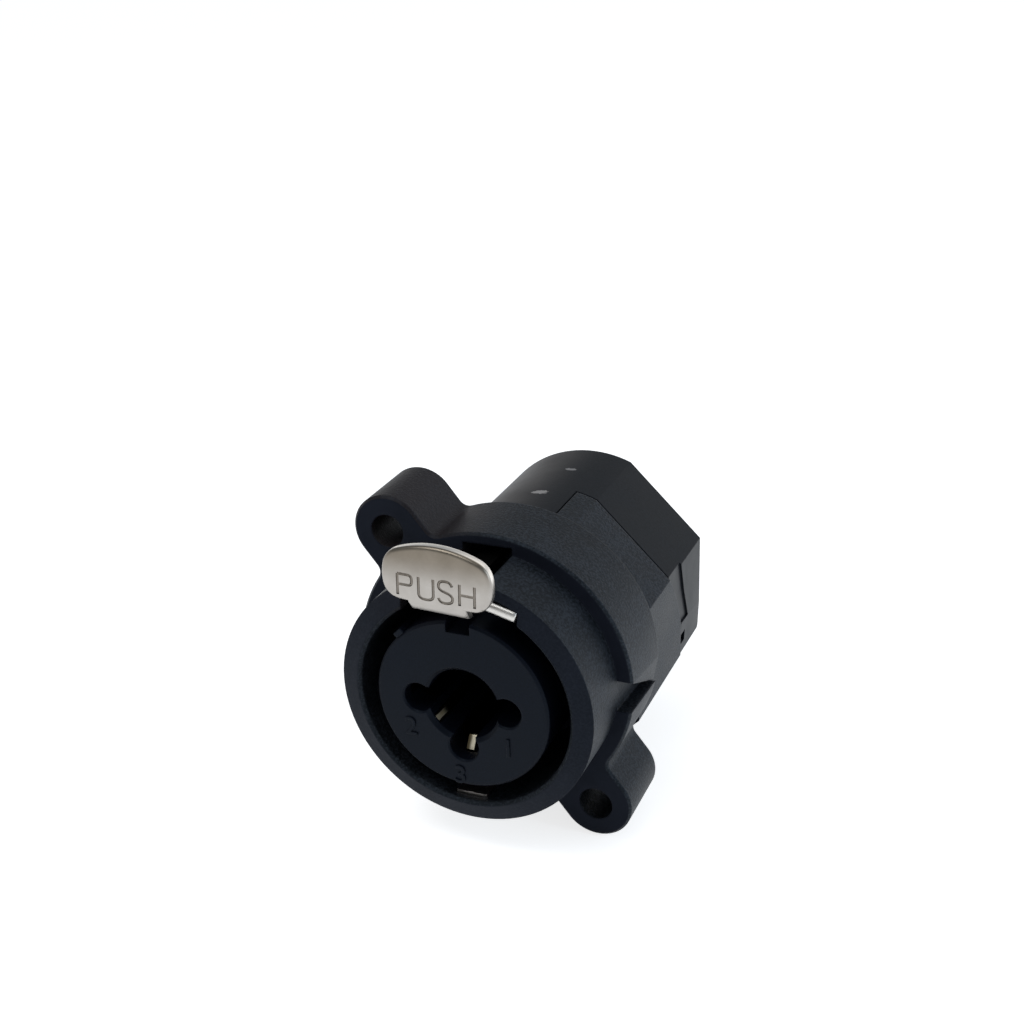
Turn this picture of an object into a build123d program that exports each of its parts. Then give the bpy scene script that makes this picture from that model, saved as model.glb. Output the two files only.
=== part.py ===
"""Panel socket for a three-pin audio plug or a 6.35 mm jack plug, in millimetres.

The frame has its origin on the barrel's axis, in the plane where the flange meets the
back of the panel. +X is to the right, +Y goes in through the panel and +Z is up.
"""
from build123d import *
import os
from math import atan2, cos, degrees, radians, sin, sqrt

os.makedirs("parts", exist_ok=True)

# Insert and plug standard
insert_radius = 7.95
insert_front = -6.69
pin_circle = 4.06
pin_radius = 1.25
pin_hole_radius = 1.35
pin_hole_depth = 11.9
pin_mouth_length = 2.79
pin_chamber_radius = 1.45
pin_lead_in = 0.15
jack_bore_radius = 3.3
jack_lead_in = 0.35
jack_guide_length = 17.3
jack_rear_radius = 3.7
jack_length = 30.5
pin_angles = {"1": 0, "2": 180, "3": 270}

# Front housing
barrel_radius = 11.63
rim_front = -6.5
rim_shoulder = 0.52
rim_mouth_radius = 9.98
rim_lead_in = 0.3
shell_bore_radius = 9.7
collar_radius = 13.03
collar_depth = 7.1
collar_edge_cut = 0.22
shell_floor = 5.6
web_clearance = 0.15
ear_x = 9.5
ear_z = 12.0
ear_radius = 3.3
ear_hole_radius = 1.55
ear_root_round = 1.0
collar_notch = ((0, 0.95), (7.2, -2.6), (7.2, -2.7), (0, -2.0))
collar_ramp = ((13.0, -0.1, 0.95), (13.03, 7.3, -0.1), (12.56, 7.3, -2.6), (12.75, -0.1, -1.5))

# Rear body outline: round at the top, left and bottom, squared off on the right
body_radius = 10.74
body_back = 26.8
side_x = 11.21
side_low = -7.21
facet_cut = 0.88
body_edge_cut = 0.2
side_step = ((14, 3.5), (19.9, 3.5), (20.57, 1.39), (21.15, -0.5), (22.28, -3.14), (22.6, -3.9), (14, -3.57))
side_step_depth = 0.2
side_facet = ((11.21, 19.9, -3.6), (11.21, 26.8, -4.35), (11.01, 20.4, -6.75))
wall = 1.3
back_wall = 1.5

# Seam between the front housing and the rear cover
seam_top = 16.5
seam_mid = (18.6, -0.1)
seam_low = (20.2, -3.6)
seam_gap = 0.15
lap_length = 2.3
lap_thickness = 1.0
lap_clearance = 0.05
tongue_edge = 1.87
tongue_low = 0.0
pry_notch = (20.3, 21.9, -6.35, -5.2)
pry_notch_depth = 0.8

# Insert body behind the face
flange_radius = 9.0
flange_thickness = 1.85
seat_clearance = 0.05
tube_radius = 4.9
key_slot_width = 2.2
key_slot_floor = 6.9
face_edge_cut = 0.22

# Sheet metal of the contacts
sheet = 0.35
sheet_clearance = 0.07
tail_length = 4.4
tail_width = 2.0
tail_eye_radius = 0.55
tail_eye_inset = 1.3
contact_width = 1.1
fork_front = -3.6
fork_length = 7.8
fork_leaf = 0.3
contact_tip = -5.0
tongue_flare = 0.2

# Jack springs
spring_width = 2.0
spring_radius = 5.6
tip_angle = 45
tip_contact = 27.0
tip_reach = 2.3
ring_angle = 135
ring_contact = 19.2
ring_reach = 2.95
ring_rise_length = 6.0
ring_curl_length = 1.4
ring_curl_height = 1.3
sleeve_angle = 218.5
sleeve_width = 0.8
sleeve_reach = 3.12
sleeve_front = -6.1
sleeve_curl_length = 1.4
sleeve_relief = 0.45
sleeve_ramp = (0.4, 2.4)
bend = 0.5

# Ground strip in the bottom of the annular gap
ground_radius = 9.4
ground_width = 2.85
ground_sheet = 0.4
ground_front = -5.5
ground_step = 4.4
ground_step_length = 1.6
ground_overlap = 0.6
ground_tail_radius = 7.7

# Latch lever
latch_front = -9.9
tab_thickness = 1.1
tab_top = 16.1
tab_shoulder = (3.3, 15.55)
tab_side = (4.87, 13.3)
tab_low = (3.3, 11.05)
neck_half = 2.75
neck_shoulder = 10.75
neck_foot_half = 2.35
arm_bottom = 10.3
arm_thickness = 0.7
arm_half = 1.0
pivot_y = 5.2
pivot_z = 10.7
pivot_radius = 0.6
pivot_clearance = 0.05
eye_radius = 1.0
hook_back = 0.2
hook_length = 0.8
hook_ramp = 1.8
hook_bottom = 8.75
hook_half = 1.0
latch_slot_half = 2.3
latch_slot_roof = 12.05
latch_slot_back = 6.7
pin_half = 3.6
pin_slot_back = 8.6
pin_slot_clearance = 0.03
tab_edge_cut = 0.2

# Latch spring, a bent wire in a pocket under the rim
wire_radius = 0.38
wire_y = -6.0
wire_apex = 10.33
wire_end_x = 5.0
wire_end_z = 9.1
wire_bend = 2.0
keeper_half = 0.5
keeper_bottom = 9.6
keeper_hole_radius = 0.46
pocket_half = 5.3
pocket_radius = 10.8
pocket_depth = 1.6

# Worked out from the values above
insert_length = shell_floor - insert_front
flange_front = collar_depth + seat_clearance
flange_back = flange_front + flange_thickness
jack_end = insert_front + jack_length
guide_end = insert_front + jack_guide_length
retainer_front = jack_end + seat_clearance
retainer_back = body_back - back_wall - seat_clearance
tail_end = body_back + tail_length
contact_radius = pin_circle + pin_radius + sheet / 2
lap_front = seam_top - lap_length
far = 60


def depth(y):
    """Plane facing the front at depth y, with X to the right and Z up."""
    return Plane.XZ.offset(-y)


def radial_plane(angle):
    """Plane through the axis at an angle from +X towards +Z, with radius and Y as its axes."""
    turn = radians(angle)
    return Plane((0, 0, 0), x_dir=(cos(turn), 0, sin(turn)), z_dir=(-sin(turn), 0, cos(turn)))


def face_plane(first, second, third):
    """Plane through three points, facing out to the right."""
    along = Vector(*second) - Vector(*first)
    outward = along.cross(Vector(*third) - Vector(*first))
    if outward.X < 0:
        outward = -outward
    return Plane(first, x_dir=along, z_dir=outward)


def body_outline(y, inset=0.0, limit=far):
    """Cross-section of the rear body at depth y, inset from its outer face, within a limit radius."""
    radius = body_radius - inset
    side = side_x - inset
    upper = (body_radius - facet_cut - inset) * sqrt(2)
    lower = side_x - side_low - inset * sqrt(2)
    meet = (upper + sqrt(2 * radius**2 - upper**2)) / 2
    with BuildSketch(depth(y)) as outline:
        with BuildLine():
            ThreePointArc((0, -radius), (-radius, 0), (upper - meet, meet))
            Polyline(
                (upper - meet, meet),
                (side, upper - side),
                (side, side - lower),
                (lower - radius, -radius),
                (0, -radius),
            )
        make_face()
        Circle(limit, mode=Mode.INTERSECT)
    return outline.sketch


def behind_seam(gap, plane):
    """Side view of all that lies behind the seam, with Y and Z as its axes."""
    facet_corner = (body_radius - facet_cut) * sqrt(2) - side_x
    with BuildSketch(plane) as region:
        with BuildLine():
            Line((seam_top + gap, far), (seam_top + gap, facet_corner))
            ThreePointArc(
                (seam_top + gap, facet_corner),
                (seam_mid[0] + gap, seam_mid[1]),
                (seam_low[0] + gap, seam_low[1]),
            )
            Polyline(
                (seam_low[0] + gap, seam_low[1]),
                (seam_low[0] + gap, -far),
                (far, -far),
                (far, far),
                (seam_top + gap, far),
            )
        make_face()
    return region.sketch


def cut_slot(angle, inner, outer, front, back, width):
    """Cut a straight slot along Y, at an angle round the axis, out of the open part."""
    with BuildSketch(radial_plane(angle).offset(-width / 2)) as slot:
        with Locations((inner, front)):
            Rectangle(outer - inner, back - front, align=(Align.MIN, Align.MIN))
    extrude(slot.sketch, amount=width, mode=Mode.SUBTRACT)


def cut_funnel(place, radius, length, lead_in):
    """Cut a round hole into the insert's face at a place of X and Z, with a 45 degree lead-in."""
    with BuildSketch(depth(insert_front)) as hole:
        with Locations(place):
            Circle(radius)
    extrude(hole.sketch, amount=-length, mode=Mode.SUBTRACT)
    with BuildSketch(depth(insert_front)) as mouth:
        with Locations(place):
            Circle(radius + lead_in)
    extrude(mouth.sketch, amount=-lead_in, taper=45, mode=Mode.SUBTRACT)


def add_strip(angle, points, thickness, width):
    """Add a bent strip of sheet metal whose middle follows points of radius and Y."""
    with BuildSketch(radial_plane(angle).offset(-width / 2)) as side_view:
        with BuildLine():
            FilletPolyline(*points, radius=bend)
        trace(line_width=thickness)
    extrude(side_view.sketch, amount=width)


def pierce_tail(angle, radius):
    """Pierce the wire hole of a solder tail."""
    turn = radians(angle)
    eye = Plane(
        (radius * cos(turn), tail_end - tail_eye_inset, radius * sin(turn)),
        x_dir=(0, 1, 0),
        z_dir=(cos(turn), 0, sin(turn)),
    )
    with BuildSketch(eye) as hole:
        Circle(tail_eye_radius)
    extrude(hole.sketch, amount=sheet * 2, both=True, mode=Mode.SUBTRACT)


def cut_tail_slots(front, back):
    """Cut the slots that the solder tails pass through."""
    strips = [(angle, contact_radius) for angle in pin_angles.values()]
    strips += [(tip_angle, spring_radius), (ring_angle, spring_radius), (sleeve_angle, contact_radius)]
    for angle, radius in strips:
        reach = sheet / 2 + sheet_clearance
        cut_slot(angle, radius - reach, radius + reach, front, back, tail_width + 2 * sheet_clearance)
    reach = ground_sheet / 2 + sheet_clearance
    cut_slot(
        270,
        ground_tail_radius - reach,
        ground_tail_radius + reach,
        front,
        back,
        tail_width + 2 * sheet_clearance,
    )


# Front housing: flange with two ears, barrel in front of the panel, skirt behind it
with BuildPart() as front_housing:
    extrude(body_outline(collar_depth), amount=-(seam_low[0] - collar_depth))
    extrude(behind_seam(0, Plane.YZ.offset(-far)), amount=2 * far, mode=Mode.SUBTRACT)
    with BuildSketch(depth(collar_depth)):
        with Locations((tongue_edge + seam_gap, tongue_low - seam_gap)):
            Rectangle(far, far, align=(Align.MAX, Align.MIN))
    extrude(amount=-far, mode=Mode.SUBTRACT)
    extrude(body_outline(collar_depth, wall), amount=-far, mode=Mode.SUBTRACT)
    with BuildSketch(depth(0)) as flange_outline:
        Circle(collar_radius)
        for side in (-1, 1):
            ear = Vector(side * ear_x, -side * ear_z)
            root = ear.normalized() * (collar_radius - ear_radius)
            with Locations((ear + root) / 2):
                SlotCenterToCenter(
                    (ear - root).length, 2 * ear_radius, rotation=degrees(atan2(ear.Y, ear.X))
                )
        roots = flange_outline.vertices().filter_by(
            lambda v: abs(Vector(v.X, v.Y, v.Z).length - collar_radius) < 0.01
        )
        fillet(roots, ear_root_round)
    extrude(amount=-collar_depth)
    chamfer(front_housing.faces().sort_by(Axis.Y)[0].edges(), collar_edge_cut)
    with BuildSketch(Plane.XY):
        with BuildLine():
            Polyline(
                (0, rim_front),
                (rim_mouth_radius, rim_front),
                (barrel_radius, rim_front + rim_shoulder),
                (barrel_radius, collar_depth / 2),
                (0, collar_depth / 2),
                close=True,
            )
        make_face()
    revolve(axis=Axis.Y)
    web_radius = insert_radius + web_clearance
    with BuildSketch(Plane.XY):
        with BuildLine():
            Polyline(
                (0, rim_front - 1),
                (rim_mouth_radius, rim_front - 1),
                (rim_mouth_radius, rim_front),
                (shell_bore_radius, rim_front + rim_lead_in),
                (shell_bore_radius, shell_floor),
                (web_radius, shell_floor),
                (web_radius, collar_depth + 1),
                (0, collar_depth + 1),
                close=True,
            )
        make_face()
    revolve(axis=Axis.Y, mode=Mode.SUBTRACT)
    with BuildSketch(depth(rim_front)):
        Circle(pocket_radius)
        Rectangle(2 * pocket_half, far, align=(Align.CENTER, Align.MIN), mode=Mode.INTERSECT)
    extrude(amount=-pocket_depth, mode=Mode.SUBTRACT)
    slot_floor = shell_bore_radius - 0.5
    with BuildSketch(depth(rim_front - 1)):
        with Locations((0, slot_floor)):
            Rectangle(2 * latch_slot_half, far, align=(Align.CENTER, Align.MIN))
    extrude(amount=rim_front - 1, mode=Mode.SUBTRACT)
    with BuildSketch(depth(0)):
        with Locations((0, slot_floor)):
            Rectangle(
                2 * latch_slot_half, latch_slot_roof - slot_floor, align=(Align.CENTER, Align.MIN)
            )
    extrude(amount=-latch_slot_back, mode=Mode.SUBTRACT)
    slot_half = pivot_radius + pin_slot_clearance
    with BuildSketch(Plane.YZ.offset(-pin_half - pin_slot_clearance)):
        with Locations((pivot_y, pivot_z)):
            Circle(slot_half)
            Rectangle(pin_slot_back - pivot_y, 2 * slot_half, align=(Align.MIN, Align.CENTER))
    extrude(amount=2 * (pin_half + pin_slot_clearance), mode=Mode.SUBTRACT)
    with BuildSketch(depth(0)):
        with Locations((-ear_x, ear_z), (ear_x, -ear_z)):
            Circle(ear_hole_radius)
    extrude(amount=-collar_depth, mode=Mode.SUBTRACT)
    groove = ground_width / 2 + sheet_clearance
    ground_outer = ground_radius + ground_sheet + sheet_clearance
    cut_slot(270, web_radius - 1, ground_outer, ground_front - 0.1, collar_depth + 1, 2 * groove)
    with BuildSketch(Plane.YZ.offset(barrel_radius - 0.1)):
        with BuildLine():
            Polyline(*collar_notch, close=True)
        make_face()
    extrude(amount=far, mode=Mode.SUBTRACT)
    ramp = face_plane(*collar_ramp[:3])
    with BuildSketch(ramp):
        with BuildLine():
            corners = [ramp.to_local_coords(Vector(*corner)) for corner in collar_ramp]
            Polyline(*[(corner.X, corner.Y) for corner in corners], close=True)
        make_face()
    extrude(amount=1, mode=Mode.SUBTRACT)
front_housing.part.label = "front_housing"
export_step(front_housing.part, "parts/front_housing.step")

# Rear cover: cup with a rabbet that laps inside the skirt, and a tongue up to the flange
with BuildPart() as rear_cover:
    cover_front = collar_depth + seam_gap
    extrude(body_outline(cover_front), amount=-(body_back - cover_front))
    chamfer(rear_cover.faces().sort_by(Axis.Y)[-1].edges(), body_edge_cut)
    with BuildSketch(Plane.YZ.offset(tongue_edge)):
        Rectangle(2 * far, 2 * far)
        add(behind_seam(seam_gap, Plane.XY), mode=Mode.SUBTRACT)
    extrude(amount=far, mode=Mode.SUBTRACT)
    with BuildSketch(Plane.YZ.offset(tongue_edge)):
        with Locations((0, tongue_low)):
            Rectangle(2 * far, far, align=(Align.CENTER, Align.MAX))
        add(behind_seam(seam_gap, Plane.XY), mode=Mode.SUBTRACT)
    extrude(amount=-far, mode=Mode.SUBTRACT)
    lap_reach = body_back - back_wall - lap_front
    extrude(body_outline(lap_front, wall + lap_clearance), amount=-lap_reach)
    extrude(body_outline(collar_depth, wall), amount=-(lap_front - collar_depth), mode=Mode.SUBTRACT)
    extrude(body_outline(lap_front, wall + lap_thickness), amount=-lap_reach, mode=Mode.SUBTRACT)
    cut_tail_slots(body_back - 2 * back_wall, body_back + 1)
    notch_front, notch_back, notch_low, notch_high = pry_notch
    with BuildSketch(Plane.YZ.offset(side_x - pry_notch_depth)):
        with Locations((notch_front, notch_low)):
            Rectangle(
                notch_back - notch_front, notch_high - notch_low, align=(Align.MIN, Align.MIN)
            )
    extrude(amount=far, mode=Mode.SUBTRACT)
    with BuildSketch(Plane.YZ.offset(side_x - side_step_depth)):
        with BuildLine():
            Polyline(*side_step, close=True)
        make_face()
    extrude(amount=far, mode=Mode.SUBTRACT)
    with BuildSketch(face_plane(*side_facet)):
        Rectangle(2 * far, 2 * far)
    extrude(amount=far, mode=Mode.SUBTRACT)
rear_cover.part.label = "rear_cover"
export_step(rear_cover.part, "parts/rear_cover.step")

# Insert that carries the contacts, with the jack tube behind its flange
with BuildPart() as contact_insert:
    with BuildSketch(depth(insert_front)):
        Circle(insert_radius)
    extrude(amount=-(flange_back - insert_front))
    chamfer(contact_insert.faces().sort_by(Axis.Y)[0].edges(), face_edge_cut)
    seat_outline = body_outline(flange_front, wall + 2 * seat_clearance, flange_radius)
    extrude(seat_outline, amount=-flange_thickness)
    with BuildSketch(depth(flange_back)):
        Circle(tube_radius)
    extrude(amount=-(jack_end - flange_back))
    cut_funnel((0, 0), jack_bore_radius, jack_guide_length, jack_lead_in)
    with BuildSketch(depth(guide_end)):
        Circle(jack_rear_radius)
    extrude(amount=guide_end - jack_end, mode=Mode.SUBTRACT)
    for angle in pin_angles.values():
        place = (pin_circle * cos(radians(angle)), pin_circle * sin(radians(angle)))
        cut_funnel(place, pin_hole_radius, pin_mouth_length, pin_lead_in)
        with BuildSketch(depth(insert_front + pin_mouth_length)):
            with Locations(place):
                Circle(pin_chamber_radius)
        extrude(amount=pin_mouth_length - pin_hole_depth, mode=Mode.SUBTRACT)
    fork_half = pin_radius + fork_leaf + sheet_clearance
    fork_inner = pin_circle - 0.21
    fork_outer = contact_radius + sheet / 2 + sheet_clearance
    for angle in pin_angles.values():
        cut_slot(angle, fork_inner, fork_outer, fork_front - 0.3, flange_back + 1, 2 * fork_half)
        cut_slot(
            angle,
            pin_circle,
            fork_outer + tongue_flare,
            contact_tip - 0.3,
            fork_front,
            contact_width + 2 * sheet_clearance,
        )
    sleeve_slot = sleeve_width + 2 * sheet_clearance
    cut_slot(sleeve_angle, jack_bore_radius - 1, 3.95, sleeve_front - 0.1, jack_end + 1, sleeve_slot)
    cut_slot(sleeve_angle, jack_bore_radius, fork_outer, -0.5, flange_back + 1, sleeve_slot)
    for angle in (tip_angle, ring_angle):
        slot_width = spring_width + 0.3
        cut_slot(angle, jack_bore_radius - 1, tube_radius + 1, guide_end, jack_end + 1, slot_width)
    with BuildSketch(depth(insert_front)):
        with Locations((0, key_slot_floor)):
            Rectangle(key_slot_width, far, align=(Align.CENTER, Align.MIN))
    extrude(amount=-insert_length, mode=Mode.SUBTRACT)
    ground_notch = ground_width / 2 + sheet_clearance
    cut_slot(
        270,
        ground_tail_radius - ground_sheet / 2 - sheet_clearance,
        flange_radius + 1,
        ground_step,
        flange_back + 1,
        2 * ground_notch,
    )
contact_insert.part.label = "contact_insert"
export_step(contact_insert.part, "parts/contact_insert.step")

# Retainer plate that closes the back of the insert and spaces the solder tails
with BuildPart() as contact_retainer:
    plate_outline = body_outline(retainer_front, wall + lap_thickness + 2 * seat_clearance)
    extrude(plate_outline, amount=-(retainer_back - retainer_front))
    cut_tail_slots(retainer_front - 1, retainer_back + 1)
contact_retainer.part.label = "contact_retainer"
export_step(contact_retainer.part, "parts/contact_retainer.step")

# Pin contacts: a tongue and two fork leaves that grip the pin, and a solder tail
for name, angle in pin_angles.items():
    with BuildPart() as xlr_contact:
        tongue_tip = (contact_radius + tongue_flare, contact_tip)
        tongue_foot = (contact_radius, contact_tip + 1.4)
        add_strip(angle, [tongue_tip, tongue_foot, (contact_radius, tail_end)], sheet, contact_width)
        fork_reach = contact_radius + sheet / 2 - pin_circle
        fork_half = pin_radius + fork_leaf
        with BuildSketch(radial_plane(angle).offset(-fork_half)):
            with Locations((pin_circle - 0.15, fork_front)):
                Rectangle(fork_reach + 0.15, fork_length, align=(Align.MIN, Align.MIN))
        extrude(amount=2 * fork_half)
        cut_slot(angle, 0, pin_circle + pin_radius, fork_front - 1, fork_front + fork_length + 1, 2 * pin_radius)
        with BuildSketch(radial_plane(angle)):
            with Locations((contact_radius, flange_back + 0.5)):
                Rectangle(sheet, tail_end - flange_back - 0.5, align=(Align.CENTER, Align.MIN))
        extrude(amount=tail_width / 2, both=True)
        pierce_tail(angle, contact_radius)
    xlr_contact.part.label = "xlr_contact_" + name
    export_step(xlr_contact.part, "parts/xlr_contact_" + name + ".step")

# Jack tip spring: folded back on itself so that its bow lands on the tip of the plug
with BuildPart() as jack_tip_spring:
    tip_y = insert_front + tip_contact
    add_strip(
        tip_angle,
        [
            (spring_radius, tail_end),
            (spring_radius, flange_back + 2.6),
            (spring_radius - 1.2, flange_back + 2.6),
            (spring_radius - 1.2, tip_y - 4),
            (tip_reach, tip_y),
            (tip_reach + 1.6, tip_y + 2.2),
        ],
        sheet,
        spring_width,
    )
    pierce_tail(tip_angle, spring_radius)
jack_tip_spring.part.label = "jack_tip_spring"
export_step(jack_tip_spring.part, "parts/jack_tip_spring.step")

# Jack ring spring: a straight leaf with its bow near the flange
with BuildPart() as jack_ring_spring:
    ring_y = insert_front + ring_contact
    add_strip(
        ring_angle,
        [
            (spring_radius, tail_end),
            (spring_radius, ring_y + ring_rise_length),
            (ring_reach, ring_y),
            (ring_reach + ring_curl_height, ring_y - ring_curl_length),
        ],
        sheet,
        spring_width,
    )
    pierce_tail(ring_angle, spring_radius)
jack_ring_spring.part.label = "jack_ring_spring"
export_step(jack_ring_spring.part, "parts/jack_ring_spring.step")

# Jack sleeve spring: lies in the wall of the bore, close behind the face
with BuildPart() as jack_sleeve_spring:
    add_strip(
        sleeve_angle,
        [
            (sleeve_reach + sleeve_relief, sleeve_front),
            (sleeve_reach + sheet / 2, sleeve_front + sleeve_curl_length),
            (sleeve_reach + sleeve_relief, sleeve_ramp[0]),
            (contact_radius, sleeve_ramp[1]),
            (contact_radius, tail_end),
        ],
        sheet,
        sleeve_width,
    )
    with BuildSketch(radial_plane(sleeve_angle)):
        with Locations((contact_radius, flange_back + 0.5)):
            Rectangle(sheet, tail_end - flange_back - 0.5, align=(Align.CENTER, Align.MIN))
    extrude(amount=tail_width / 2, both=True)
    pierce_tail(sleeve_angle, contact_radius)
jack_sleeve_spring.part.label = "jack_sleeve_spring"
export_step(jack_sleeve_spring.part, "parts/jack_sleeve_spring.step")

# Ground contact: strip that touches the plug's shell, stepped in to its solder tail
with BuildPart() as ground_contact:
    strip_radius = ground_radius + ground_sheet / 2
    add_strip(
        270,
        [
            (strip_radius, ground_front),
            (strip_radius, ground_step),
            (ground_tail_radius, ground_step + ground_step_length),
            (ground_tail_radius, flange_back + ground_overlap),
        ],
        ground_sheet,
        ground_width,
    )
    with BuildSketch(radial_plane(270)):
        with Locations((ground_tail_radius, flange_back)):
            Rectangle(ground_sheet, tail_end - flange_back, align=(Align.CENTER, Align.MIN))
    extrude(amount=tail_width / 2, both=True)
    pierce_tail(270, ground_tail_radius)
ground_contact.part.label = "ground_contact"
export_step(ground_contact.part, "parts/ground_contact.step")

# Latch lever: thumb tab, arm, spring keeper, hook and pivot eye in one piece
with BuildPart() as latch_lever:
    with BuildSketch(depth(latch_front)):
        with BuildLine():
            brow = ThreePointArc((-tab_shoulder[0], tab_shoulder[1]), (0, tab_top), tab_shoulder)
            right_cheek = TangentArc(tab_shoulder, tab_side, tangent=brow % 1)
            TangentArc(tab_side, tab_low, tangent=right_cheek % 1)
            left_side = (-tab_side[0], tab_side[1])
            left_cheek = TangentArc(brow @ 0, left_side, tangent=-(brow % 0))
            TangentArc(left_side, (-tab_low[0], tab_low[1]), tangent=left_cheek % 1)
            Polyline(
                tab_low,
                (neck_half, neck_shoulder),
                (neck_foot_half, arm_bottom),
                (-neck_foot_half, arm_bottom),
                (-neck_half, neck_shoulder),
                (-tab_low[0], tab_low[1]),
            )
        make_face()
    extrude(amount=-tab_thickness)
    chamfer(latch_lever.faces().sort_by(Axis.Y)[0].edges(), tab_edge_cut)
    arm_y = latch_front + tab_thickness / 2
    with BuildSketch(Plane.YZ):
        with Locations((arm_y, arm_bottom)):
            Rectangle(pivot_y - arm_y, arm_thickness, align=(Align.MIN, Align.MIN))
        with Locations((pivot_y, pivot_z)):
            Circle(eye_radius)
    extrude(amount=arm_half, both=True)
    with BuildSketch(Plane.YZ):
        with BuildLine():
            Polyline(
                (hook_back, arm_bottom + arm_thickness / 2),
                (hook_back, hook_bottom),
                (hook_back - hook_length, hook_bottom),
                (hook_back - hook_length - hook_ramp, arm_bottom),
                (hook_back - hook_length - hook_ramp, arm_bottom + arm_thickness / 2),
                close=True,
            )
        make_face()
    extrude(amount=hook_half, both=True)
    with BuildSketch(Plane.YZ):
        with Locations((wire_y, keeper_bottom)):
            Rectangle(1.9, arm_bottom - keeper_bottom + 0.2, align=(Align.CENTER, Align.MIN))
    extrude(amount=keeper_half, both=True)
    hole_z = wire_apex - 0.09
    with BuildSketch(Plane.YZ):
        with Locations((wire_y, hole_z)):
            Circle(keeper_hole_radius)
    extrude(amount=far, both=True, mode=Mode.SUBTRACT)
    with BuildSketch(Plane.YZ):
        with Locations((pivot_y, pivot_z)):
            Circle(pivot_radius + pivot_clearance)
    extrude(amount=far, both=True, mode=Mode.SUBTRACT)
latch_lever.part.label = "latch_lever"
export_step(latch_lever.part, "parts/latch_lever.step")

# Pivot pin, held in slots that open at the back of the flange, in front of the cover
with BuildPart() as latch_pivot_pin:
    with BuildSketch(Plane.YZ.offset(-pin_half)):
        with Locations((pivot_y, pivot_z)):
            Circle(pivot_radius)
    extrude(amount=2 * pin_half)
latch_pivot_pin.part.label = "latch_pivot_pin"
export_step(latch_pivot_pin.part, "parts/latch_pivot_pin.step")

# Latch spring: its middle passes through the keeper and its ends bear on the pocket's roof
with BuildPart() as latch_spring:
    with BuildLine(depth(wire_y)) as wire_path:
        FilletPolyline(
            (-wire_end_x, wire_end_z), (0, wire_apex), (wire_end_x, wire_end_z), radius=wire_bend
        )
    with BuildSketch(Plane(wire_path.line @ 0, z_dir=wire_path.line % 0)):
        Circle(wire_radius)
    sweep()
latch_spring.part.label = "latch_spring"
export_step(latch_spring.part, "parts/latch_spring.step")
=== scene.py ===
"""Dresses the panel socket: plastics, metals, the engraved tab and the small moulded marks."""
import math

import bmesh
import bpy
from mathutils import Matrix, Vector


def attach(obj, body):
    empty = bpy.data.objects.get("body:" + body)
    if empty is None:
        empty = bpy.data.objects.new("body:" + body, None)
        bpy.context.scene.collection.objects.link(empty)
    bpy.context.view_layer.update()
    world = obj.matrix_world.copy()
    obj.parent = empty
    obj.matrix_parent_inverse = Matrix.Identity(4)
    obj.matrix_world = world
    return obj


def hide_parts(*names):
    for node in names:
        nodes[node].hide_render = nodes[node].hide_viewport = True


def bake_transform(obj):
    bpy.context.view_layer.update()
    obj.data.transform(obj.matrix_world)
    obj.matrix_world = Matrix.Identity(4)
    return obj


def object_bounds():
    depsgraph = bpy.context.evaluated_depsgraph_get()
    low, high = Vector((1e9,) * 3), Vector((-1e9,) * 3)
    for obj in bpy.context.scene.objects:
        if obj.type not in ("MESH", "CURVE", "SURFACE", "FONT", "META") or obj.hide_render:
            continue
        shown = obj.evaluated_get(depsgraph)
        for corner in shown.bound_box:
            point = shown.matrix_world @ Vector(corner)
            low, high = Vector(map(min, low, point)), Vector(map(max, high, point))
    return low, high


MM = 0.001
SAME_PLACE = 1e-7

# Camera, fitted to the photograph's view of the ears, the rim and the insert
CAMERA_PLACE = (48.1645, -104.9144, 65.5116)
CAMERA_RIGHT = (0.922218, 0.385063, -0.035226)
CAMERA_DOWN = (0.124719, -0.382451, -0.91552)
CAMERA_NEAR, CAMERA_FAR = 0.005, 20.0
FOCAL_PIXELS = 1494.49
IMAGE_PIXELS = 1024
SENSOR = 36.0

# Room: its light, and where reflections see it white, which is low down and in one window
ROOM_LIGHT = 0.33
ROOM_COLOUR = (0.86, 0.93, 1, 1)
LOW_SKY = (0.05, 0.4)
WINDOW_TOWARDS = (0.3, 0.58, 0.76)
WINDOW_EDGE = (0.86, 0.08)

# Lamps in metres: name, place, width, power and colour
LAMP_TARGET = (0, 0.005, 0)
LAMPS = (
    ("light_above", (-0.07, -0.1, 0.28), 0.16, 0.3, (1.0, 1.0, 1.0)),
    ("light_right", (0.3, 0.04, 0.1), 0.2, 0.33, (0.72, 0.85, 1.0)),
)

# Floor in metres, and the white that only its own view adds
FLOOR_HALF = 8.0
FLOOR_GAP = 0.0002
FLOOR_COLOUR = (0.86, 0.86, 0.86, 1.0)
FLOOR_WHITE = 0.75

# From here on, sizes are in millimetres, with X to the right, Y to the back and Z up
FACE_Y = -6.69
INSERT_RADIUS = 7.95
CONTACT_RADIUS = 5.3

# Tab: half of its outline in X and Z, then how it is rounded, bent and set askew
TAB_FRONT = -9.9
TAB_BACK = -8.8
TAB_TOP = 16.1
TAB_CORNERS = ((0.0, TAB_TOP), (3.6, 15.4), (4.72, 14.1), (4.76, 12.25), (3.3, 10.95))
CORNER_STEPS = 12
NECK_SHOULDER = (2.6, 10.9)
NECK_FOOT = (2.58, 9.88)
NECK_BEND = 0.7
TAB_EDGE_ROUND = 0.34
TAB_TILT = math.radians(-1.9)
TAB_SHIFT = -0.13
TAB_MIDDLE = 13.3
FACES_FRONT = 0.99
SHARP_EDGE = math.radians(38)

# Lever's arm behind the tab: where it is cut, and how far its narrowed front reaches into the tab
ARM_CUT = 0.01
ARM_OVERLAP = 0.3
ARM_FRONT_NARROWER = 0.8
FLAT_ANGLE = math.radians(0.5)

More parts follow.
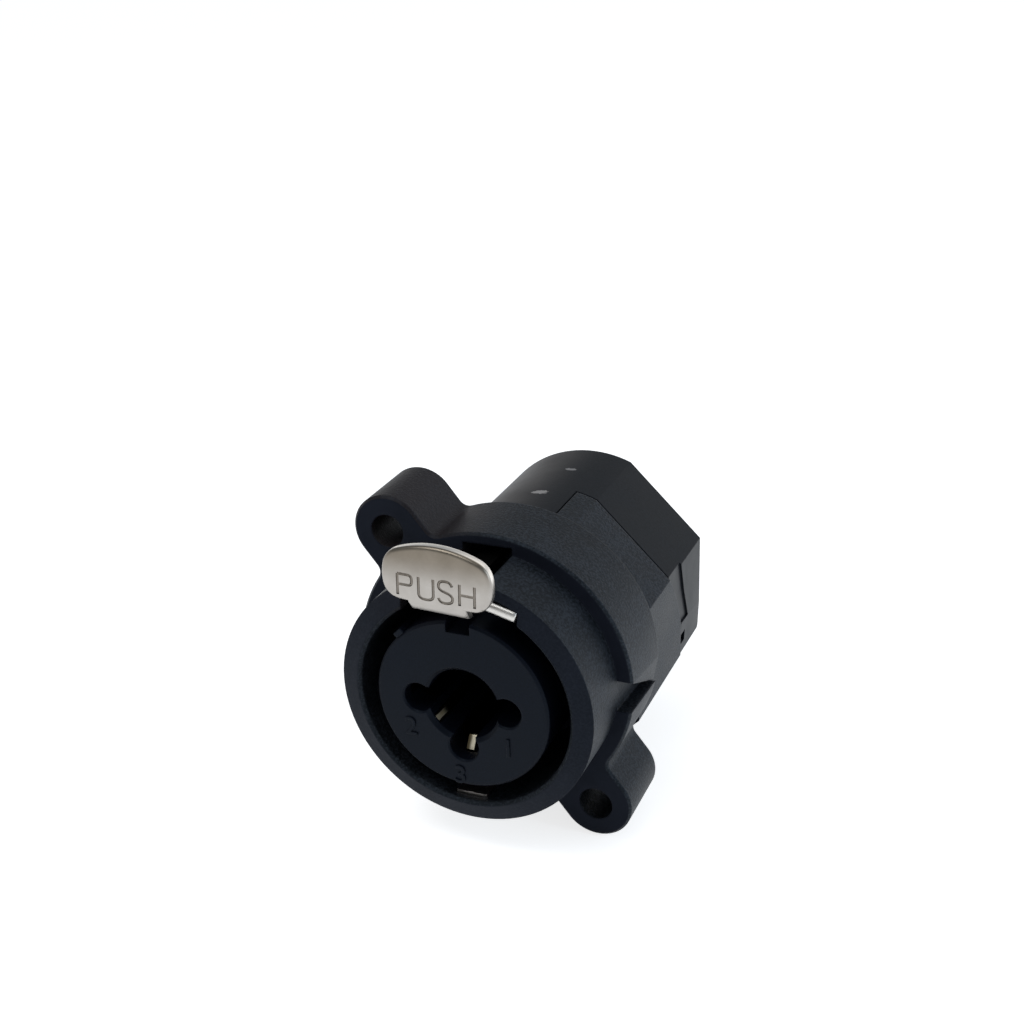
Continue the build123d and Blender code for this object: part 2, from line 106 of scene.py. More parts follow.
# The word on the tab: strokes of each letter from its left foot, and where the feet stand
LETTER_P = (
    [(0, 0), (0, 1.8)],
    [(0, 1.8), (0.7, 1.8), (1.2, 1.78), (1.3, 1.36), (1.2, 0.93), (0.7, 0.92), (0, 0.92)],
)
LETTER_U = (
    [(0, 1.8), (0, 0.7), (0.0, 0.2), (0.3, 0.0), (0.65, -0.02)]
    + [(1.0, 0.0), (1.3, 0.2), (1.3, 0.7), (1.3, 1.8)],
)
LETTER_S = (
    [(1.2, 1.45), (1.1, 1.75), (0.62, 1.85), (0.1, 1.75), (-0.02, 1.3), (0.2, 1.02), (0.62, 0.9)]
    + [(1.1, 0.75), (1.28, 0.45), (1.15, 0.08), (0.62, -0.05), (0.1, 0.05), (0.0, 0.35)],
)
LETTER_H = ([(0, 0), (0, 1.8)], [(1.3, 0), (1.3, 1.8)], [(0, 0.92), (1.3, 0.92)])
TAB_WORD = ((-3.35, LETTER_P), (-1.48, LETTER_U), (0.27, LETTER_S), (2.12, LETTER_H))
WORD_LOW = 11.45
WORD_STRETCH = 1.05
CURVE_STEPS = 6
GROOVE_RADIUS = 0.12
GROOVE_DEPTH = 0.12
GROOVE_SIDES = 12
GROOVE_APART = 0.0004

# Latch spring, a bent wire: its left end stays out of sight, a little higher and shorter
WIRE_Y = -6.0
WIRE_RADIUS = 0.53
WIRE_SIDES = 24
WIRE_STEPS = 14
WIRE_APEX = 10.3
WIRE_LIFT = 0.06
WIRE_BEND_DROP = 0.16
WIRE_BEND_REACH = 0.7
WIRE_ENDS = {"left": (4.7, 9.42), "right": (5.15, 8.95)}
WIRE_END_ROUND = 0.16

# Pin numbers: centres in X and Z, and the shape of the raised figures
PIN_NUMBERS = (("2", -4.9, -3.02), ("1", 4.18, -3.4), ("3", -0.42, -7.0))
NUMBER_HEIGHT = 1.7
NUMBER_THICKNESS = 0.2
NUMBER_STROKE = 0.03
CAP_HEIGHT = 0.69
STAND_UP = Matrix(((1, 0, 0, 0), (0, 0, -1, 0), (0, 1, 0, 0), (0, 0, 0, 1)))

# Small parts in the insert, with profiles in Y and Z
LEAF_LOW = -CONTACT_RADIUS - 0.1
LEAF_HIGH = -4.35
LEAF_PROFILE = (
    (-5.0, LEAF_LOW),
    (-4.86, LEAF_LOW + 0.22),
    (-4.2, LEAF_HIGH),
    (-4.0, LEAF_HIGH),
    (-4.6, LEAF_LOW),
)
LEAF_HALF_WIDTH = 0.38
LEAF_EDGE = 0.05
LEAF_X = -0.22
RIB_PROFILE = ((-6.62, 0.0), (-6.62, 0.55), (-3.0, 0.55), (-3.0, 0.0))
RIB_HALF_WIDTH = 0.5
RIB_EDGE = 0.12
RIB_SUNK = 0.1
RIB_PLACE = (-5.5, 5.85)


def vec(x, y, z):
    """A place in millimetres, as metres."""
    return Vector((x, y, z)) * MM


def rgb(r, g, b):
    """A display colour from 0 to 255, as a linear colour."""

    def linear(v):
        v = v / 255.0
        return v / 12.92 if v <= 0.04045 else ((v + 0.055) / 1.055) ** 2.4

    return (linear(r), linear(g), linear(b), 1.0)


# Plastics. Here and below, a pair of numbers is an edge and the width of the soft step beyond it
COOL_TINT = (0.66, 0.82, 1.0, 1.0)
CLOUD_SIZE = 4.5
CLOUD_SHARE = 0.25
CLOUD_ROUGHNESS = 0.16
DARK_TO_LIGHT = (0.42, 0.2)
WARM_FADE = rgb(34, 26, 25)
WARM_SHARE = 0.7
WARM_ABOVE = (6.0, 3.5)
WARM_LEFT_OF = (-4.5, 6.0)
# Faces to the front: painted shade, from their own colour and less shine, with a smoother grain
FRONT_FACING = (-0.97, 0.05)
FRONT_CLOUDS = (0.35, 0.3)
FRONT_CLOUD_SHARE = 0.3
FRONT_SHINE = 0.3
FRONT_GRAIN = 0.01

# Scuffs: centre, half sizes and colour, with a ragged edge
HOUSING_MARKS = (
    ((7.6, 0.0, -13.24), (0.8, 0.3, 0.07), rgb(74, 77, 82)),
    ((9.6, 0.0, -14.4), (0.35, 0.3, 0.1), rgb(60, 62, 66)),
)
COVER_MARKS = (
    ((-1.2, 15.2, 10.6), (0.85, 0.45, 0.6), rgb(150, 147, 145)),
    ((-0.4, 21.3, 10.7), (0.6, 0.3, 0.6), rgb(128, 126, 126)),
)
MARK_EDGE = (0.6, 0.5)
MARK_RAGGED = 1.3
MARK_GRAIN = 0.3

# Nickel of the tab: painted shade towards the top, painted shade in the word's grooves, a painted
# highlight on the bright top edge, and painted shade on the arm behind the tab
UPPER_TAB = (12.2, 3.2)
UPPER_SHADE = 0.9
UPPER_TONES = (rgb(98, 90, 78), rgb(130, 121, 108))
# Painted shade in the word's grooves: where they are, and how dark
GROOVE_FROM, GROOVE_TO = (TAB_FRONT + 0.01, 0.05), (TAB_FRONT + 0.2, 0.1)
WORD_FROM, WORD_TO = (11.2, 0.05), (13.6, 0.05)
WORD_REACH_SQUARED = (15.0, 0.5)
GROOVE_SHADE = 0.66
GROOVE_TONE = rgb(88, 79, 68)
# Painted highlight along the tab's top edge
EDGE_FROM = (TAB_FRONT + 0.26, 0.12)
EDGE_ABOVE = (13.0, 1.2)
EDGE_TONE = rgb(240, 234, 226)
# Painted shade on the arm behind the tab
ARM_FROM = (TAB_BACK + 0.1, 0.6)
ARM_SHADE = 0.9
ARM_TONE = rgb(38, 38, 38)
NICKEL_GRAIN = 0.12
NICKEL_GRAIN_DEPTH = 0.006

# Gold of the leaf in the pin hole, darker on its left half: painted shade
LEAF_RIGHT_HALF = (-0.4, 0.3)
LEAF_SHADE_TONE = rgb(112, 102, 80)

# Contacts: painted shade darkens them inside the socket, but for a streak on the sleeve's leaf,
# left bright as a painted highlight, and they stay bright at the tails
SOCKET_SHADE_TONE = rgb(24, 20, 15)
SOCKET_SHADE_FROM = (-5.3, 1.0)
TAILS_FROM = (25.0, 2.0)
BORE_REACH_SQUARED = (10.0, 2.0)
STREAK_UP, STREAK_RIGHT, STREAK_OFF = 0.789, 0.614, 0.03
STREAK_REACH_SQUARED = (0.03, 0.05)


# Shader tools
class Value:
    """A value in a node tree that takes part in arithmetic."""

    def __init__(self, graph, output):
        self.graph = graph
        self.output = output

    def _math(self, operation, *values):
        return self.graph.node("ShaderNodeMath", {"operation": operation}, values)

    def __add__(self, other):
        return self._math("ADD", self, other)

    def __mul__(self, other):
        return self._math("MULTIPLY", self, other)

    def __sub__(self, other):
        return self._math("SUBTRACT", self, other)

    def __rsub__(self, other):
        return self._math("SUBTRACT", other, self)

    def __truediv__(self, other):
        return self._math("DIVIDE", self, other)

    def above(self, edge, soft):
        """0 below edge, 1 above edge + soft, with a smooth step between."""
        settings = {"interpolation_type": "SMOOTHSTEP"}
        sockets = {"Value": self, "From Min": edge, "From Max": edge + soft}
        return self.graph.node("ShaderNodeMapRange", settings, sockets)

    def below(self, edge, soft):
        """1 below edge, 0 above edge + soft, with a smooth step between."""
        return 1.0 - self.above(edge, soft)

    def or_else(self, other):
        """The greater of two values."""
        return self._math("MAXIMUM", self, other)


class Graph:
    """A node tree."""

    def __init__(self, tree):
        self.tree = tree

    def node(self, kind, settings=None, sockets=None, out=0):
        """One output of a new node, which is made from its kind, settings and sockets."""
        made = self.tree.nodes.new(kind)
        for key, value in (settings or {}).items():
            setattr(made, key, value)
        items = sockets.items() if isinstance(sockets, dict) else enumerate(sockets or ())
        for key, value in items:
            if isinstance(value, Value):
                self.tree.links.new(value.output, made.inputs[key])
            else:
                made.inputs[key].default_value = value
        return Value(self, made.outputs[out])

    def place(self):
        """Place on the object in metres, or a direction in the world."""
        return self.node("ShaderNodeTexCoord", out="Object")

    def split(self, vector):
        """The X, Y and Z of a vector."""
        return [self.node("ShaderNodeSeparateXYZ", None, [vector], out=axis) for axis in "XYZ"]

    def rays(self, *names):
        """1 for rays of the named kinds."""
        seen = 0.0
        for name in names:
            seen = self.node("ShaderNodeLightPath", out=name).or_else(seen)
        return seen


class Finish(Graph):
    """A material around one Principled shader, or two."""

    def __init__(self, name, **inputs):
        self.material = bpy.data.materials.new(name)
        self.material.use_nodes = True
        super().__init__(self.material.node_tree)
        self.shader = self.tree.nodes["Principled BSDF"]
        self.set(**inputs)

    def set(self, **inputs):
        """Sets the shader's inputs, each to a constant or to a value of this tree."""
        for name, value in inputs.items():
            socket = self.shader.inputs[name.replace("_", " ")]
            if isinstance(value, Value):
                self.tree.links.new(value.output, socket)
            else:
                socket.default_value = value

    def where(self, mask, **inputs):
        """Another shader where mask is 1; later calls of set change that one."""
        first = self.shader
        self.shader = self.tree.nodes.new("ShaderNodeBsdfPrincipled")
        self.set(**inputs)
        ends = {0: mask, 1: Value(self, first.outputs[0]), 2: Value(self, self.shader.outputs[0])}
        choice = self.node("ShaderNodeMixShader", None, ends)
        self.tree.links.new(choice.output, self.tree.nodes["Material Output"].inputs["Surface"])

    def noise(self, size_mm, detail, rough=0.55):
        """Noise from 0 to 1, with features about size_mm across."""
        scale = 1.0 / (size_mm * MM)
        sockets = {"Vector": self.place(), "Scale": scale, "Detail": detail, "Roughness": rough}
        return self.node("ShaderNodeTexNoise", None, sockets)

    def axes(self):
        """The three coordinates of the place, in millimetres."""
        return [axis * (1.0 / MM) for axis in self.split(self.place())]

    def facing_back(self):
        """1 where the surface faces the back of the object, -1 where it faces the front."""
        return self.split(self.node("ShaderNodeTexCoord", out="Normal"))[1]

    def mark(self, centre, half):
        """1 inside a scuff with a ragged edge, from its centre and half sizes."""
        total = self.noise(MARK_GRAIN, 3.0) * (2 * MARK_RAGGED) - MARK_RAGGED
        for axis, middle, reach in zip(self.axes(), centre, half):
            away = (axis - middle) / reach
            total = away * away + total
        return total.below(*MARK_EDGE)

    def mix(self, factor, low, high):
        """A colour between low at factor 0 and high at factor 1."""
        sockets = {0: factor, 6: low, 7: high}
        return self.node("ShaderNodeMix", {"data_type": "RGBA"}, sockets, out=2)

    def bump(self, height, depth_mm, edge_mm=0.0):
        """Bump of a height from 0 to 1, on edges that look rounded by edge_mm."""
        sockets = {"Strength": 1.0, "Distance": depth_mm * MM, "Height": height}
        if edge_mm:
            radius = {"Radius": edge_mm * MM}
            sockets["Normal"] = self.node("ShaderNodeBevel", {"samples": 4}, radius)
        return self.node("ShaderNodeBump", None, sockets)


def plastic(
    name, dark, light, rough, grain_mm, grain_depth, shine, front=None, marks=(), edge_mm=0.12
):
    """Moulded plastic with fine grain, faint clouds, a warm fade at the upper left and scuffs.

    Where a front colour is given, faces to the front are smoother, take that colour and shine less:
    painted shade, since less light falls on them.
    """
    m = Finish(name, Specular_IOR_Level=shine, Specular_Tint=COOL_TINT)
    clouds = m.noise(CLOUD_SIZE, 3.0)
    grain = m.noise(grain_mm, 2.0, 0.7)
    tone = (clouds * CLOUD_SHARE + grain * (1 - CLOUD_SHARE)).above(*DARK_TO_LIGHT)
    across, _, height = m.axes()
    warmth = height.above(*WARM_ABOVE) * across.below(*WARM_LEFT_OF)
    colour = m.mix(warmth * WARM_SHARE, m.mix(tone, dark, light), WARM_FADE)
    for centre, half, paint in marks:
        colour = m.mix(m.mark(centre, half), colour, paint)
    roughness = clouds * CLOUD_ROUGHNESS + (rough - CLOUD_ROUGHNESS / 2)
    m.set(Base_Color=colour, Roughness=roughness, Normal=m.bump(grain, grain_depth, edge_mm))
    if front:
        # Painted shade on faces to the front: their own colour and a lower shine
        front_clouds = clouds.above(*FRONT_CLOUDS) * FRONT_CLOUD_SHARE
        m.where(
            m.facing_back().below(*FRONT_FACING),
            Base_Color=m.mix(front_clouds, front, dark),
            Roughness=roughness,
            Specular_IOR_Level=shine * FRONT_SHINE,
            Specular_Tint=COOL_TINT,
            Normal=m.bump(clouds, FRONT_GRAIN, edge_mm),
        )
    return m


def metal(name, dark, light, cloud_mm, detail, rough, rough_spread=0.14):
    """Metal with soft clouds between two tones, which also vary its roughness."""
    m = Finish(name, Metallic=1.0)
    m.clouds = m.noise(cloud_mm, detail)
    m.tone = m.mix(m.clouds, dark, light)
    m.set(Base_Color=m.tone, Roughness=m.clouds * rough_spread + rough)
    return m


# Mesh tools
def link(thing):
    """Puts an object into the scene."""
    bpy.context.scene.collection.objects.link(thing)
    return thing


def mesh_of(name, bm):
    """The mesh of a bmesh, which is then freed."""
    mesh = bpy.data.meshes.new(name)
    bm.to_mesh(mesh)
    bm.free()
    return mesh


def evaluated_mesh(thing):
    """A mesh copy of an object, with its modifiers applied."""
    bpy.context.view_layer.update()
    graph = bpy.context.evaluated_depsgraph_get()
    return bpy.data.meshes.new_from_object(thing.evaluated_get(graph))


def new_piece(name, mesh, finish):
    """A piece of the dressed part, with its finish and slot but no body yet."""
    mesh.name = name
    mesh.materials.clear()
    mesh.materials.append(finish.material)
    piece = link(bpy.data.objects.new(name, mesh))
    return piece


def round_edges(bm, edges, radius, segments, clamp=False):
    """Rounds the given edges; clamp keeps the rounding off its neighbours."""
    settings = {"segments": segments, "profile": 0.5, "affect": "EDGES", "clamp_overlap": clamp}
    bmesh.ops.bevel(bm, geom=edges, offset=radius * MM, **settings)


def cut_flat(bm, place, direction, **settings):
    """Cuts along the plane through a place, at right angles to a direction."""
    whole = bm.verts[:] + bm.edges[:] + bm.faces[:]
    bmesh.ops.bisect_plane(bm, geom=whole, plane_co=vec(*place), plane_no=direction, **settings)


def extruded(outline, step):
    """A solid swept by one step from a flat outline."""
    bm = bmesh.new()
    face = bm.faces.new([bm.verts.new(vec(*place)) for place in outline])
    grown = bmesh.ops.extrude_face_region(bm, geom=[face])
    moved = [v for v in grown["geom"] if isinstance(v, bmesh.types.BMVert)]
    bmesh.ops.translate(bm, verts=moved, vec=vec(*step))
    bmesh.ops.recalc_face_normals(bm, faces=bm.faces[:])
    return bm


def side_profile(points, half_width, edge_round):
    """A solid with a profile in Y and Z, as wide on both sides of the middle."""
    bm = extruded([(-half_width, y, z) for y, z in points], (2 * half_width, 0, 0))
    round_edges(bm, bm.edges[:], edge_round, 2)
    return bm


def tube(points, radius, sides, end_round=0.0):
    """A round bar along points, with closed ends of which the last can be rounded."""
    bm = bmesh.new()
    rings = []
    places = [vec(*p) for p in points]
    for index, place in enumerate(places):
        ahead = places[min(index + 1, len(places) - 1)] - places[max(index - 1, 0)]
        ahead.normalize()
        side = ahead.cross(Vector((0, 1, 0))).normalized()
        up = side.cross(ahead).normalized()
        ring = []
        for k in range(sides):
            a = 2 * math.pi * k / sides
            ring.append(bm.verts.new(place + radius * MM * (math.cos(a) * side + math.sin(a) * up)))
        rings.append(ring)
    for low, high in zip(rings, rings[1:]):
        for k in range(sides):
            bm.faces.new((low[k], low[(k + 1) % sides], high[(k + 1) % sides], high[k]))
    bm.faces.new(rings[0][::-1])
    far_end = bm.faces.new(rings[-1])
    bmesh.ops.recalc_face_normals(bm, faces=bm.faces[:])
    if end_round:
        round_edges(bm, list(far_end.edges), end_round, 3)
    for face in bm.faces:
        face.smooth = len(face.verts) == 4
    return bm


# The frame
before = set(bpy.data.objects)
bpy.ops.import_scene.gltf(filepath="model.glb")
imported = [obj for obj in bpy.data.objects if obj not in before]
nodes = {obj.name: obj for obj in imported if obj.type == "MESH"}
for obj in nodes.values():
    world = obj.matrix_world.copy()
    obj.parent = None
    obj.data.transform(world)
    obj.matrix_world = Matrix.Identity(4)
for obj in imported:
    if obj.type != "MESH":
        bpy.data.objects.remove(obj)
cad_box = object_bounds()

# Finishes
housing = plastic(
    "housing_grained_plastic",
    dark=rgb(9, 11, 14),
    light=rgb(39, 43, 49),
    rough=0.5,
    grain_mm=0.22,
    grain_depth=0.05,
    shine=0.2,
    # Colour of the painted shade on faces to the front
    front=rgb(31, 34, 43),
    marks=HOUSING_MARKS,
    edge_mm=0.25,
)
cover = plastic(
    "cover_smooth_plastic",
    dark=rgb(9, 11, 15),
    light=rgb(17, 20, 25),
    rough=0.42,
    grain_mm=0.2,
    grain_depth=0.008,
    shine=0.13,
    marks=COVER_MARKS,
)
insert = plastic(
    "insert_plastic",
    dark=rgb(6, 8, 16),
    light=rgb(10, 14, 24),
    rough=0.44,
    grain_mm=0.14,
    grain_depth=0.004,
    shine=0.12,
)

nickel = metal(
    "satin_nickel", rgb(154, 149, 143), rgb(182, 178, 173), cloud_mm=1.6, detail=4.0, rough=0.26
)
x, y, z = nickel.axes()
# Painted shade: the tab darker towards its top
upper_tone = nickel.mix(nickel.clouds, *UPPER_TONES)
nickel_tone = nickel.mix(z.above(*UPPER_TAB) * UPPER_SHADE, nickel.tone, upper_tone)
# Painted shade in the word's grooves
in_groove = y.above(*GROOVE_FROM) * y.below(*GROOVE_TO)
in_groove = in_groove * z.above(*WORD_FROM) * z.below(*WORD_TO)
in_groove = in_groove * (x * x).below(*WORD_REACH_SQUARED)
nickel_tone = nickel.mix(in_groove * GROOVE_SHADE, nickel_tone, GROOVE_TONE)
# Painted shade on the arm behind the tab
behind_tab = y.above(*ARM_FROM)
# Painted highlight: the tab's top edge nearly white
painted_edge_highlight = y.above(*EDGE_FROM) * z.above(*EDGE_ABOVE) * (1.0 - behind_tab)
nickel_tone = nickel.mix(painted_edge_highlight, nickel_tone, EDGE_TONE)
nickel.set(
    Base_Color=nickel.mix(behind_tab * ARM_SHADE, nickel_tone, ARM_TONE),
    Normal=nickel.bump(nickel.noise(NICKEL_GRAIN, 2.0), NICKEL_GRAIN_DEPTH),
)

steel = metal(
    "spring_wire_steel",
    rgb(186, 184, 180),
    rgb(214, 212, 208),
    cloud_mm=0.2,
    detail=2.0,
    rough=0.32,
    rough_spread=0.1,
)

gold = metal(
    "gold_plated_leaf", rgb(222, 208, 172), rgb(248, 242, 224), cloud_mm=0.7, detail=3.0, rough=0.38
)
# Painted shade on the leaf's left half
gold.set(Base_Color=gold.mix(gold.axes()[0].above(*LEAF_RIGHT_HALF), LEAF_SHADE_TONE, gold.tone))

shaded_gold = metal(
    "gold_leaf_painted_shade",
    rgb(238, 222, 184),
    rgb(255, 246, 222),
    cloud_mm=0.7,
    detail=3.0,
    rough=0.4,
)
x, y, z = shaded_gold.axes()
# Painted shade inside the socket, left out along a streak on the sleeve's leaf (a painted
# highlight) and at the tails
from_streak = z * STREAK_UP - x * STREAK_RIGHT + STREAK_OFF
socket_shade = y.above(*SOCKET_SHADE_FROM).or_else((x * x).above(*BORE_REACH_SQUARED))
socket_shade = socket_shade.or_else((from_streak * from_streak).above(*STREAK_REACH_SQUARED))
socket_shade = socket_shade * y.below(*TAILS_FROM)
shaded_gold.set(Base_Color=shaded_gold.mix(socket_shade, shaded_gold.tone, SOCKET_SHADE_TONE))

silver = metal(
    "silver_plated_strip",
    rgb(206, 198, 190),
    rgb(240, 234, 226),
    cloud_mm=0.9,
    detail=3.0,
    rough=0.24,
)

# All nodes that aren't named here are contacts
FINISHES = {
    "front_housing": housing,
    "rear_cover": cover,
    "contact_insert": insert,
    "contact_retainer": insert,
    "latch_lever": nickel,
    "latch_pivot_pin": steel,
    "latch_spring": steel,
    "ground_contact": silver,
}
for name, node in nodes.items():
    node.data.materials.clear()
    node.data.materials.append(FINISHES.get(name, shaded_gold).material)


# Latch lever
def tangent_arc(start, heading, end, steps):
    """Points on the arc from start at a heading, up to but without end, and the last heading."""
    across, up = end[0] - start[0], end[1] - start[1]
    turn = (math.atan2(up, across) - heading + math.pi) % (2 * math.pi) - math.pi
    diameter = math.hypot(across, up) / math.sin(turn)
    points = []
    for k in range(steps):
        part = turn * k / steps
        reach = diameter * math.sin(part)
        along = heading + part
        points.append((start[0] + reach * math.cos(along), start[1] + reach * math.sin(along)))
    return points, heading + 2 * turn


def tab_outline():
    """Outline of the tab in X and Z, from the middle of its top down the right, up the left."""
    right, heading = [], 0.0
    for start, end in zip(TAB_CORNERS, TAB_CORNERS[1:]):
        points, heading = tangent_arc(start, heading, end, CORNER_STEPS)
        right += points
    right += [TAB_CORNERS[-1], NECK_SHOULDER, NECK_FOOT]
    return right + [(-x, z) for x, z in reversed(right) if x > 0]


def tab_plate():
    """The tab with rounded edges, cut level with the neck's shoulder so that the neck can bend."""
    outline = [(x, TAB_FRONT, z) for x, z in tab_outline()]
    bm = extruded(outline, (0, TAB_BACK - TAB_FRONT, 0))
    rims = [e for e in bm.edges if abs(e.verts[0].co.y - e.verts[1].co.y) < SAME_PLACE]
    round_edges(bm, rims, TAB_EDGE_ROUND, 4, clamp=True)
    cut_flat(bm, (0, 0, NECK_SHOULDER[1]), (0, 0, 1))
    return mesh_of("tab", bm)


def lever_arm(lever_mesh):
    """The lever behind its tab, with a narrowed front that reaches into the tab."""
    bm = bmesh.new()
    bm.from_mesh(lever_mesh)
    bmesh.ops.remove_doubles(bm, verts=bm.verts[:], dist=SAME_PLACE)
    bmesh.ops.dissolve_limit(bm, angle_limit=FLAT_ANGLE, verts=bm.verts[:], edges=bm.edges[:])
    cut_flat(bm, (0, TAB_BACK + ARM_CUT, 0), (0, -1, 0), clear_outer=True)
    bmesh.ops.holes_fill(bm, edges=[e for e in bm.edges if e.is_boundary])
    for vert in bm.verts:
        if vert.co.y < (TAB_BACK + 2 * ARM_CUT) * MM:
            vert.co.y = (TAB_BACK - ARM_OVERLAP) * MM
            vert.co.x *= ARM_FRONT_NARROWER
    return mesh_of("lever_arm", bm)


def rounded(points):
    """A smooth line from the first point to the last that bends towards those between."""
    inner = points[1:-1]
    joints = [((a[0] + b[0]) / 2, (a[1] + b[1]) / 2) for a, b in zip(inner, inner[1:])]
    joints = [points[0]] + joints + [points[-1]]
    line = []
    for start, pull, end in zip(joints, inner, joints[1:]):
        for k in range(CURVE_STEPS):
            t = k / CURVE_STEPS
            first, second, third = (1 - t) ** 2, 2 * t * (1 - t), t * t
            ends = zip(start, pull, end)
            line.append(tuple(first * a + second * b + third * c for a, b, c in ends))
    return (line or [points[0]]) + [points[-1]]


def engrave(piece, strokes):
    """Cuts round-bottomed grooves along lines of X and Z into the tab's front."""
    depth = TAB_FRONT - GROOVE_RADIUS + GROOVE_DEPTH
    for index, stroke in enumerate(strokes):
        points = [(x, depth, z + index * GROOVE_APART) for x, z in stroke]
        groove = mesh_of("groove", tube(points, GROOVE_RADIUS, GROOVE_SIDES))
        cutter = link(bpy.data.objects.new("cutter", groove))
        cut = piece.modifiers.new("groove", "BOOLEAN")
        cut.operation = "DIFFERENCE"
        cut.solver = "EXACT"
        cut.object = cutter
        mesh = evaluated_mesh(piece)
        piece.modifiers.clear()
        piece.data = mesh
        bpy.data.objects.remove(cutter)


lever = new_piece("latch_lever_dressed", tab_plate(), nickel)
word = [
    [(x + foot, z * WORD_STRETCH + WORD_LOW) for x, z in rounded(stroke)]
    for foot, letter in TAB_WORD
    for stroke in letter
]
engrave(lever, word)
for vert in lever.data.vertices:
    vert.co.y += max(0.0, NECK_SHOULDER[1] * MM - vert.co.z) * NECK_BEND
askew = Matrix.Translation(vec(TAB_SHIFT, 0, TAB_MIDDLE)) @ Matrix.Rotation(-TAB_TILT, 4, "Y")
lever.data.transform(askew @ Matrix.Translation(-vec(0, 0, TAB_MIDDLE)))
joined = bmesh.new()
joined.from_mesh(lever.data)
joined.from_mesh(lever_arm(nodes["latch_lever"].data))
joined.normal_update()
for face in joined.faces:
    face.smooth = abs(face.normal.y) < FACES_FRONT
    face.material_index = 0
joined.to_mesh(lever.data)
joined.free()
if lever.data.has_custom_normals:
    lever.data.attributes.remove(lever.data.attributes["custom_normal"])
lever.data.set_sharp_from_angle(angle=SHARP_EDGE)
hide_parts("latch_lever")
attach(lever, "latch")


# Latch spring
def wire_path(side, end):
    """Half of the wire, from the middle of its bend out to an end in X and Z."""
    slope = (WIRE_APEX - end[1]) / end[0]
    path = []
    for k in range(WIRE_STEPS + 1):
        out = k / WIRE_STEPS * end[0]
        drop = WIRE_BEND_DROP * math.exp(-((out / WIRE_BEND_REACH) ** 2))
        path.append((side * out, WIRE_Y, WIRE_APEX + WIRE_LIFT - slope * out - drop))
    return path


for side_name, side in (("left", -1), ("right", 1)):
    name = f"latch_wire_{side_name}"
    end = WIRE_ENDS[side_name]
    bar = tube(wire_path(side, end), WIRE_RADIUS, WIRE_SIDES, WIRE_END_ROUND)
    wire = new_piece(name, mesh_of(name, bar), steel)
    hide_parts("latch_spring")
    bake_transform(wire)


# Pin numbers
def raised_number(number):
    """A number as a solid mesh in the XY plane, with its centre at the origin."""
    curve = bpy.data.curves.new("letters", "FONT")
    curve.body = number
    curve.align_x = "CENTER"
    curve.align_y = "CENTER"
    curve.size = NUMBER_HEIGHT / CAP_HEIGHT * MM
    curve.extrude = NUMBER_THICKNESS / 2 * MM
    curve.offset = NUMBER_STROKE * MM
    curve.resolution_u = 4
    text = link(bpy.data.objects.new("letters", curve))
    mesh = evaluated_mesh(text)
    bpy.data.objects.remove(text)
    return mesh


for number, x, z in PIN_NUMBERS:
    mesh = raised_number(number)
    mesh.transform(Matrix.Translation(vec(x, FACE_Y, z)) @ STAND_UP)
    figure = new_piece(f"pin_number_{number}", mesh, insert)
    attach(figure, "socket")

# Small parts in the insert
leaf_bm = side_profile(LEAF_PROFILE, LEAF_HALF_WIDTH, LEAF_EDGE)
leaf_bm.transform(Matrix.Translation(vec(LEAF_X, 0, 0)))
leaf = new_piece("contact_leaf_3", mesh_of("contact_leaf_3", leaf_bm), gold)
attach(leaf, "socket")

rib_bm = side_profile(RIB_PROFILE, RIB_HALF_WIDTH, RIB_EDGE)
rib_turn = math.pi / 2 - math.atan2(RIB_PLACE[1], RIB_PLACE[0])
rib_lift = Matrix.Translation(vec(0, 0, INSERT_RADIUS - RIB_SUNK))
rib_bm.transform(Matrix.Rotation(rib_turn, 4, "Y") @ rib_lift)
rib = new_piece("insert_rib", mesh_of("insert_rib", rib_bm), insert)
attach(rib, "socket")

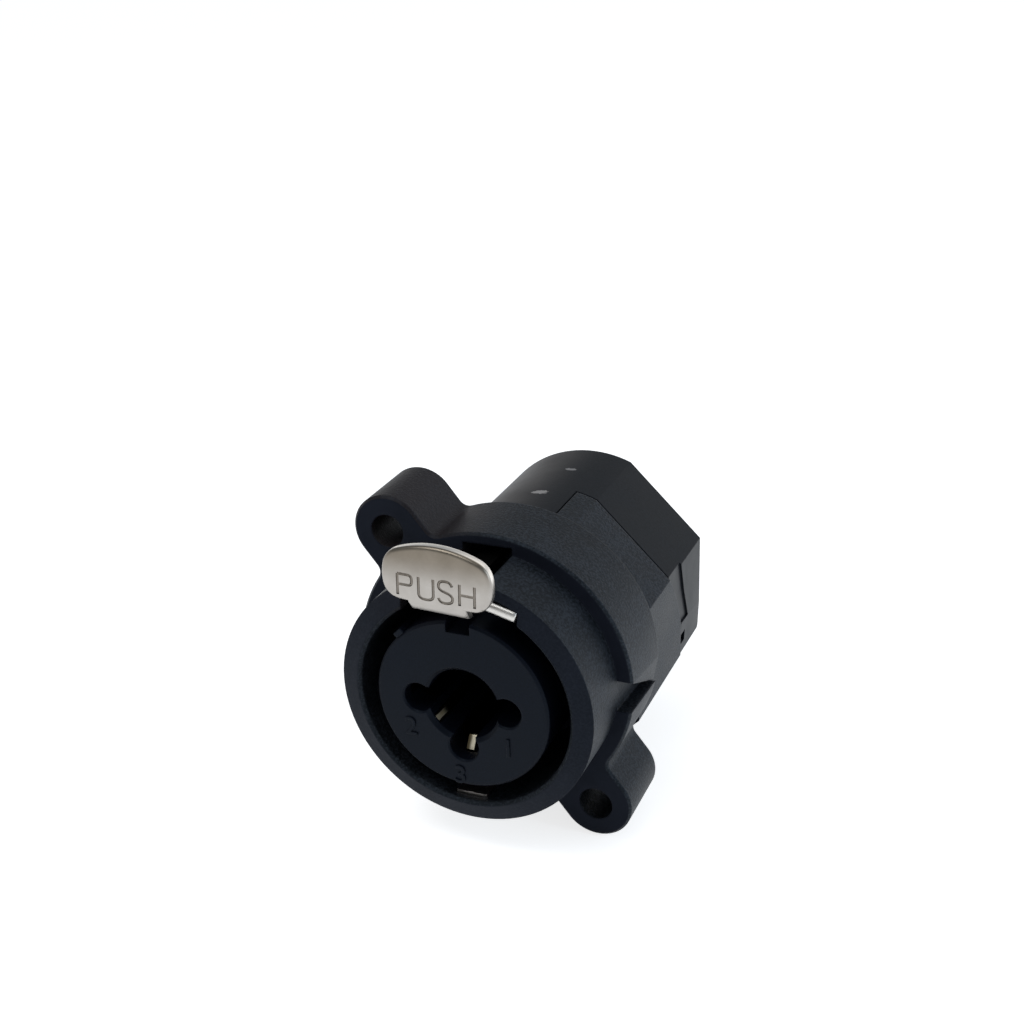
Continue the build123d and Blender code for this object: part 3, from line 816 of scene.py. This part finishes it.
# Camera
camera_data = bpy.data.cameras.new("camera")
camera_data.sensor_width = SENSOR
camera_data.lens = SENSOR * FOCAL_PIXELS / IMAGE_PIXELS
camera_data.clip_start = CAMERA_NEAR
camera_data.clip_end = CAMERA_FAR
camera = link(bpy.data.objects.new("camera", camera_data))
right, down = Vector(CAMERA_RIGHT), Vector(CAMERA_DOWN)
turned = Matrix((right, -down, right.cross(-down))).transposed().to_4x4()
camera.matrix_world = Matrix.Translation(vec(*CAMERA_PLACE)) @ turned
bpy.context.scene.camera = camera

# Lamps, each turned to face the target
for name, place, width, power, colour in LAMPS:
    lamp_data = bpy.data.lights.new(name, "AREA")
    lamp_data.size = width
    lamp_data.energy = power
    lamp_data.color = colour
    lamp = link(bpy.data.objects.new(name, lamp_data))
    away = Vector(place) - Vector(LAMP_TARGET)
    facing = away.to_track_quat("Z", "Y").to_matrix().to_4x4()
    lamp.matrix_world = Matrix.Translation(Vector(place)) @ facing

# Room
world = bpy.data.worlds.new("plain_room")
bpy.context.scene.world = world
world.use_nodes = True
sky = Graph(world.node_tree)
across, behind, height = sky.split(sky.place())
window = across * WINDOW_TOWARDS[0] + behind * WINDOW_TOWARDS[1] + height * WINDOW_TOWARDS[2]
bright = height.below(*LOW_SKY).or_else(window.above(*WINDOW_EDGE))
seen_white = sky.rays("Is Glossy Ray") * bright
seen_white = seen_white.or_else(sky.rays("Is Camera Ray", "Is Transmission Ray"))
room = sky.node("ShaderNodeBackground", None, {"Color": ROOM_COLOUR, "Strength": ROOM_LIGHT})
white = sky.node("ShaderNodeBackground", None, {"Color": (1, 1, 1, 1), "Strength": 1.0})
choice = sky.node("ShaderNodeMixShader", None, {0: seen_white, 1: room, 2: white})
sky.tree.links.new(choice.output, sky.tree.nodes["World Output"].inputs["Surface"])

# Floor
floor_bm = bmesh.new()
bmesh.ops.create_grid(floor_bm, x_segments=1, y_segments=1, size=FLOOR_HALF)
floor_mesh = mesh_of("floor", floor_bm)
floor_mesh.transform(Matrix.Translation((0, 0, cad_box[0][2] - FLOOR_GAP)))
floor = link(bpy.data.objects.new("floor", floor_mesh))
pale = Finish("pale_floor", Base_Color=FLOOR_COLOUR, Roughness=0.9, Specular_IOR_Level=0.0)
in_view = pale.rays("Is Camera Ray", "Is Glossy Ray", "Is Transmission Ray")
pale.set(Emission_Color=in_view * FLOOR_WHITE, Emission_Strength=1.0)
floor_mesh.materials.append(pale.material)

bpy.context.scene.view_settings.view_transform = "Standard"
